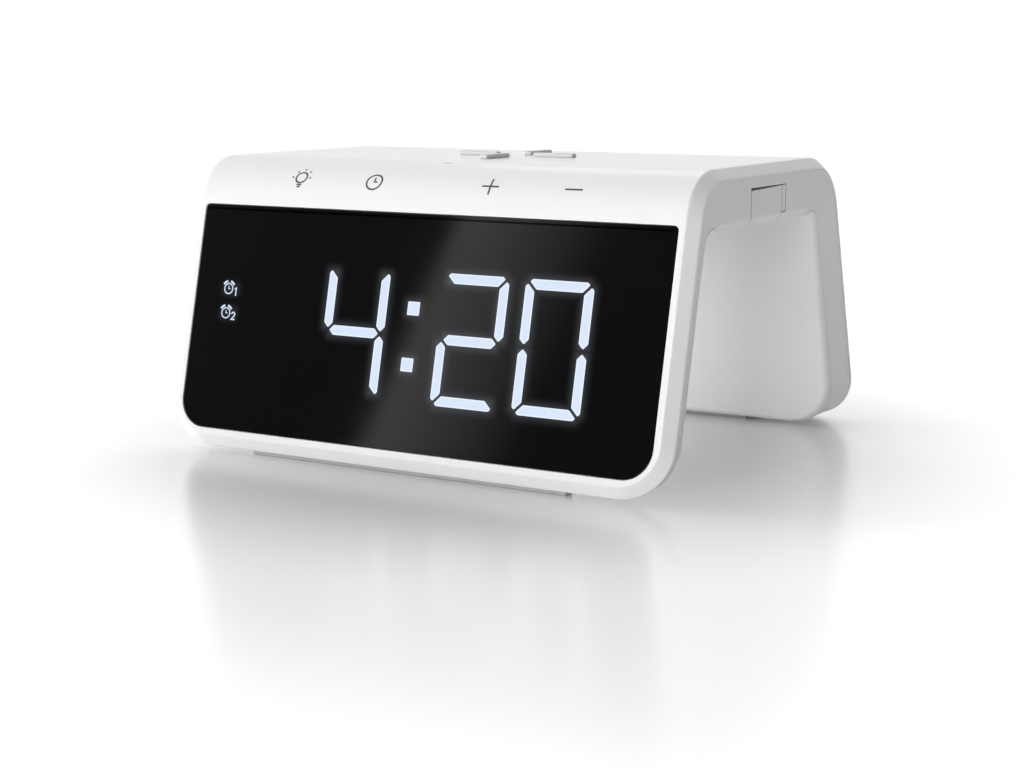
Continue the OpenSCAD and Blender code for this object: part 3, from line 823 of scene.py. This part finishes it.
def key_signs():
    bm = bmesh.new()
    x, y = KEYS[0], KEY_PATH + 0.6
    ring(bm, x, y, BULB_R, KEY_LINE)
    for low, half in ((2.5, 0.85), (3.15, 0.55)):
        ribbon(bm, [(x - half, y - low), (x + half, y - low)], 0.5)
    for turn in (0, 45, 90, 135, 180):
        c, s = math.cos(math.radians(turn)), math.sin(math.radians(turn))
        ribbon(bm, [(x + far * c, y + far * s) for far in RAYS], KEY_LINE)
    x, y = KEYS[1], KEY_PATH
    ring(bm, x, y, CLOCK_R, KEY_LINE)
    ribbon(bm, [(x, y + 1.5), (x, y), (x + 1.1, y)], KEY_LINE * 0.9)
    for x in KEYS[2:]:
        ribbon(bm, [(x - STROKE_HALF, y), (x + STROKE_HALF, y)], KEY_LINE)
    x = KEYS[2]
    for side in (-1, 1):
        ribbon(bm, [(x, y + side * KEY_LINE / 2), (x, y + side * STROKE_HALF)], KEY_LINE)
    return raised(bm, 0, INK_THICK)


ink = Finish("sign_ink")
INK_PAINT = ink.done(
    Base_Color=ink.blend(ink.noise(3000, 3), INK, (0.085, 0.086, 0.09)),
    Roughness=0.5 + ink.noise(900, 2) * 0.15,
)
finished(key_signs(), "key_signs", INK_PAINT)

# ---- Anti-slip bars and feet --------------------------------------------------------------
# Moulded silicone rubber with soft edges, glued in place: four bars in a cross on the top,
# which keep a phone from slipping, and a strip under each leg.
PAD_UP = 67.98
BAR = (13.4, 2.6, 1.2)
BAR_FROM, BAR_SOFT = 6.2, 0.4
FOOT_HALF, FOOT_SOFT = 52, 0.3


def rubber(name, colour, rough):
    mix = Finish(name)
    fine = mix.noise(3800, 3)
    dust = mix.noise(160, 5)
    return mix.done(
        Base_Color=mix.blend(dust * 0.5 + fine * 0.2, colour, tuple(c * 0.9 for c in colour)),
        Roughness=rough + fine * 0.12,
        Normal=mix.relief(fine, 0.012),
    )


def soft_boxes(boxes, width):
    bm = bmesh.new()
    for low, high in boxes:
        made = bmesh.ops.create_cube(bm, size=1)
        for vert in made["verts"]:
            vert.co = in_frame(*(l + (h - l) * (c + 0.5) for l, h, c in zip(low, high, vert.co)))
    soften(bm, bm.edges[:], width * MM, 3)
    bmesh.ops.recalc_face_normals(bm, faces=bm.faces[:])
    return bm


bars = []
for along, across in ((1, 0), (0, 1), (-1, 0), (0, -1)):
    near, far = BAR_FROM, BAR_FROM + BAR[0]
    xs = sorted((near * along - across * BAR[1] / 2, far * along + across * BAR[1] / 2))
    ys = sorted((near * across - along * BAR[1] / 2, far * across + along * BAR[1] / 2))
    bars.append(((xs[0], PAD_UP + ys[0], HEIGHT), (xs[1], PAD_UP + ys[1], HEIGHT + BAR[2])))
PAD_RUBBER = rubber("pad_silicone", (0.76, 0.765, 0.77), 0.55)
finished(soft_boxes(bars, BAR_SOFT), "grip_bars", PAD_RUBBER, ["grip_pads"])
FOOT_RUBBER = rubber("foot_silicone", (0.42, 0.425, 0.43), 0.6)
for name, near, far in (("front_foot", 3.9, 7.9), ("rear_foot", 125.5, 137.5)):
    strip = soft_boxes([((-FOOT_HALF, near, -FOOT_H), (FOOT_HALF, far, 0))], FOOT_SOFT)
    finished(strip, name + "_strip", FOOT_RUBBER, [name])

# ---- Insides -----------------------------------------------------------------------------
# Everything the case hides: lacquered boards, the copper coil on its ferrite sheet, light
# guides, steel screws, the power inlet and the backup cell. These pieces keep their plain
# shapes, and each gets the surface of what it is made of. The door's strap is among them.


def metal(name, colour, rough, stretch=(1, 1, 1)):
    """Drawn or plated metal with fine scratches."""
    mix = Finish(name)
    scratch = mix.noise(1800, 4, stretch)
    stain = mix.noise(120, 3)
    return mix.done(
        Base_Color=mix.blend(stain, colour, tuple(c * 0.8 for c in colour)),
        Roughness=rough + scratch * 0.18,
        Metallic=1.0,
        Normal=mix.relief(scratch, 0.003),
    )


def board(name, colour, track):
    """Lacquered circuit board with tracks under the green."""
    mix = Finish(name)
    cells = mix.add(
        "ShaderNodeTexVoronoi", {"feature": "DISTANCE_TO_EDGE"}, {"Vector": mix.place, "Scale": 420.0}
    )
    line = (1 - cells * 9).most(0)
    return mix.done(
        Base_Color=mix.blend(line * 0.7 + mix.noise(1500, 2) * 0.1, colour, track),
        Roughness=0.32 + mix.noise(500, 2) * 0.14,
        Normal=mix.relief(line, 0.02),
    )


def plain(name, colour, rough, grain=0.01, darker=0.8):
    """Moulded or pressed technical material with a fine grain."""
    mix = Finish(name)
    fine, cloud = mix.noise(2400, 3), mix.noise(140, 3)
    return mix.done(
        Base_Color=mix.blend(cloud * 0.6 + fine * 0.3, colour, tuple(c * darker for c in colour)),
        Roughness=rough + fine * 0.14,
        Normal=mix.relief(fine, grain),
    )


def wound(name, colour, pitch, centre):
    """Enamelled copper wire in flat turns about an upright axis."""
    mix = Finish(name)
    split = mix.add("ShaderNodeSeparateXYZ", {}, {0: mix.place})
    dx = split - centre.x
    dy = Value(mix, split.socket.node.outputs[1]) - centre.y
    radius = (dx * dx + dy * dy) ** 0.5
    turn = radius / (pitch * MM)
    wave = abs(turn.maths("FRACT") - 0.5) * 2
    # The colour darkens towards the edges of each turn: painted shade in the grooves between the turns.
    return mix.done(
        Base_Color=mix.blend(wave, colour, tuple(c * 0.35 for c in colour)),
        Roughness=0.3 + wave * 0.2 + mix.noise(900, 2) * 0.1,
        Metallic=0.85,
        Normal=mix.relief(1 - wave, 0.12),
    )


STEEL = metal("steel_zinc", (0.62, 0.63, 0.65), 0.28)
GOLD = metal("contact_gold", (0.82, 0.62, 0.28), 0.25)
BOARD = board("board_lacquer", (0.012, 0.09, 0.035), (0.05, 0.2, 0.08))
COIL_LOW, COIL_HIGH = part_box("charging_coil")
COIL = wound("coil_copper", (0.8, 0.4, 0.2), 1.2, (COIL_LOW + COIL_HIGH) / 2)
INSIDES = {
    "case_screws": ("steel", STEEL),
    "board_screws": ("steel", STEEL),
    "coin_cell": ("steel", metal("cell_steel", (0.7, 0.71, 0.72), 0.22, (1, 4, 1))),
    "cell_spring": ("gold", GOLD),
    "cell_clip": ("gold", GOLD),
    "jack_pin": ("gold", GOLD),
    "lens_tape": ("tape_black", plain("foam_tape", (0.025, 0.025, 0.027), 0.8, 0.05)),
    "digit_housing": ("housing_black", plain("housing_pbt", (0.035, 0.035, 0.04), 0.5)),
    "digit_light_guides": ("guide_white", plain("guide_diffuser", (0.82, 0.85, 0.88), 0.4, 0.01, 0.93)),
    "display_board": ("board_green", BOARD),
    "main_board": ("board_green", BOARD),
    "charger_board": ("board_green", BOARD),
    "night_light_board": ("board_green", BOARD),
    "power_board": ("board_green", BOARD),
    "display_leds": ("led_yellow", plain("led_phosphor", (0.9, 0.78, 0.3), 0.35)),
    "night_light_leds": ("led_yellow", plain("lamp_phosphor", (0.9, 0.74, 0.26), 0.35)),
    "display_ribbon": ("flex_amber", plain("flex_polyimide", (0.6, 0.26, 0.05), 0.3, 0.006)),
    "touch_film": ("flex_amber", plain("touch_polyimide", (0.55, 0.25, 0.06), 0.3, 0.006)),
    "touch_electrodes": ("copper", metal("electrode_copper", (0.78, 0.4, 0.24), 0.3)),
    "charging_coil": ("copper", COIL),
    "controller_chip": ("chip_black", plain("chip_epoxy", (0.02, 0.02, 0.022), 0.45)),
    "indicator_light_pipe": ("pipe_clear", plain("pipe_diffuser", (0.3, 0.305, 0.315), 0.25, 0.004, 0.95)),
    "ferrite_sheet": ("ferrite", plain("ferrite_sinter", (0.05, 0.05, 0.055), 0.5, 0.02)),
    "charger_capacitors": ("capacitor", plain("capacitor_ceramic", (0.42, 0.28, 0.14), 0.4)),
    "buzzer": ("black_plastic", plain("buzzer_black", (0.02, 0.02, 0.021), 0.4)),
    "power_jack": ("black_plastic", plain("jack_black", (0.018, 0.018, 0.019), 0.42)),
    "power_parts": ("black_plastic", plain("choke_black", (0.03, 0.03, 0.032), 0.5)),
    "power_lead": ("wire_red", plain("lead_pvc", (0.42, 0.03, 0.025), 0.4)),
    "door_strap": ("frame_white", FRAME_PAINT),
    "coil_carrier": ("frame_white", plain("carrier_white", (0.7, 0.7, 0.69), 0.45, 0.01, 0.94)),
    "cell_pocket": ("frame_white", plain("pocket_white", (0.7, 0.7, 0.69), 0.45, 0.01, 0.94)),
}
for node, (slot, material) in INSIDES.items():
    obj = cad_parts[node]
    obj.data.materials.clear()
    obj.data.materials.append(material)

# ---- Studio ------------------------------------------------------------------------------
# White sweep: a pale glossy floor that glows a little, less so near the clock, where the
# dimmer glow is a painted contact shadow; a sky that is bright behind and to the left, soft
# lights from the front, the left, above and behind, a small one in the tunnel, and a narrow
# card, brighter at one edge, that the window mirrors.
FLOOR_HALF = 6
# The floor's glow is dimmed near the clock as a painted contact shadow. FLOOR_DIM and FLOOR_FULL are where
# that fade starts and ends.
FLOOR_DIM, FLOOR_FULL = 0.055, 0.18
floor_mesh = bmesh.new()
bmesh.ops.create_grid(floor_mesh, x_segments=1, y_segments=1, size=FLOOR_HALF)
floor = to_object(floor_mesh, "floor")
gloss = Finish("floor_gloss")
away = gloss.add("ShaderNodeVectorMath", {"operation": "LENGTH"}, {0: gloss.place}, 1)
# Painted contact shadow: the glow is almost nothing near the clock and full further out.
painted_shadow_lift = gloss.add(
    "ShaderNodeMapRange", {"interpolation_type": "SMOOTHSTEP"},
    {"Value": away, "From Min": FLOOR_DIM, "From Max": FLOOR_FULL},
)
floor.data.materials.append(gloss.done(
    Base_Color=gloss.blend(gloss.noise(3, 2), (0.66, 0.66, 0.66), (0.645, 0.645, 0.645)),
    Roughness=0.22 + gloss.noise(8, 2) * 0.03,
    IOR=2.2,
    Emission_Color=gloss.blend(painted_shadow_lift, (0.03, 0.03, 0.03), (1, 1, 1)),
    Emission_Strength=0.38,
))

SKY_BRIGHT_WAY = (-0.6, 0.78, 0.06)
SKY_RAMP = {"From Min": -0.25, "From Max": 0.55, "To Min": 0.03, "To Max": 1.1}
world = bpy.data.worlds.new("studio_sky")
bpy.context.scene.world = world
world.use_nodes = True
tree = world.node_tree
sky = tree.nodes["Background"]
sky.inputs["Color"].default_value = (1, 1, 1, 1)
direction = tree.nodes.new("ShaderNodeTexCoord")
share = tree.nodes.new("ShaderNodeVectorMath")
share.operation = "DOT_PRODUCT"
share.inputs[1].default_value = SKY_BRIGHT_WAY
ramp = tree.nodes.new("ShaderNodeMapRange")
ramp.interpolation_type = "SMOOTHSTEP"
for socket, value in SKY_RAMP.items():
    ramp.inputs[socket].default_value = value
tree.links.new(direction.outputs["Generated"], share.inputs[0])
tree.links.new(share.outputs["Value"], ramp.inputs["Value"])
tree.links.new(ramp.outputs["Result"], sky.inputs["Strength"])


def soft_light(name, place, aim, size, watts, roll=0):
    """A rectangular lamp at one place, turned towards another."""
    data = bpy.data.lights.new(name, "AREA")
    data.shape, data.size, data.size_y, data.energy = "RECTANGLE", *size, watts
    lamp = bpy.data.objects.new(name, data)
    bpy.context.scene.collection.objects.link(lamp)
    lamp.location = place
    lamp.visible_camera = False
    facing = (Vector(aim) - Vector(place)).to_track_quat("-Z", "Y")
    lamp.rotation_euler = (facing @ Quaternion((0, 0, 1), math.radians(roll))).to_euler()
    return lamp


soft_light("key_left_high", (-0.55, -0.75, 1.0), (0, 0, 0.04), (0.7, 0.5), 1)
soft_light("front_fill", (0.08, -1.25, 0.26), (0, 0, 0.04), (0.6, 0.36), 8)
soft_light("back_high", (-0.3, 0.9, 0.95), (0, 0, 0), (0.8, 0.5), 1.6)
soft_light("left_low", (-1.4, -0.3, 0.29), (0, 0.02, 0.03), (0.7, 0.35), 14)
soft_light("tunnel_bounce", (-0.01, 0.01, 0.006), (0.02, 0.05, 0.01), (0.09, 0.02), 0.02)
CARD_PLACE, CARD_AIM = (-0.7389, -1.29, 0.4041), (-0.2649, -0.4479, 0.1467)
CARD_SIZE, CARD_WATTS, CARD_ROLL = (0.16, 1.4), 0.8, -10
card = soft_light("card_in_window", CARD_PLACE, CARD_AIM, CARD_SIZE, CARD_WATTS, CARD_ROLL)
card.data.use_nodes = True
nodes, links = card.data.node_tree.nodes, card.data.node_tree.links
on_card = nodes.new("ShaderNodeNewGeometry")
across_card = nodes.new("ShaderNodeSeparateXYZ")
fade = nodes.new("ShaderNodeMapRange")
fade.inputs["To Min"].default_value, fade.inputs["To Max"].default_value = 1, 0
links.new(on_card.outputs["Parametric"], across_card.inputs[0])
links.new(across_card.outputs["X"], fade.inputs["Value"])
links.new(fade.outputs["Result"], nodes["Emission"].inputs["Strength"])

CAMERA_PLACE = (0.2705, -0.4717, 0.1113)
CAMERA_TURN, CAMERA_RISE = math.radians(30.221), math.radians(10.053)
camera_data = bpy.data.cameras.new("view")
camera_data.sensor_width = 36
camera_data.lens = 62.79
camera = bpy.data.objects.new("view", camera_data)
bpy.context.scene.collection.objects.link(camera)
level = math.cos(CAMERA_RISE)
ahead = Vector((-math.sin(CAMERA_TURN) * level, math.cos(CAMERA_TURN) * level, -math.sin(CAMERA_RISE)))
camera.location = CAMERA_PLACE
camera.rotation_euler = ahead.to_track_quat("-Z", "Y").to_euler()
bpy.context.scene.camera = camera
bpy.context.scene.view_settings.view_transform = "Standard"
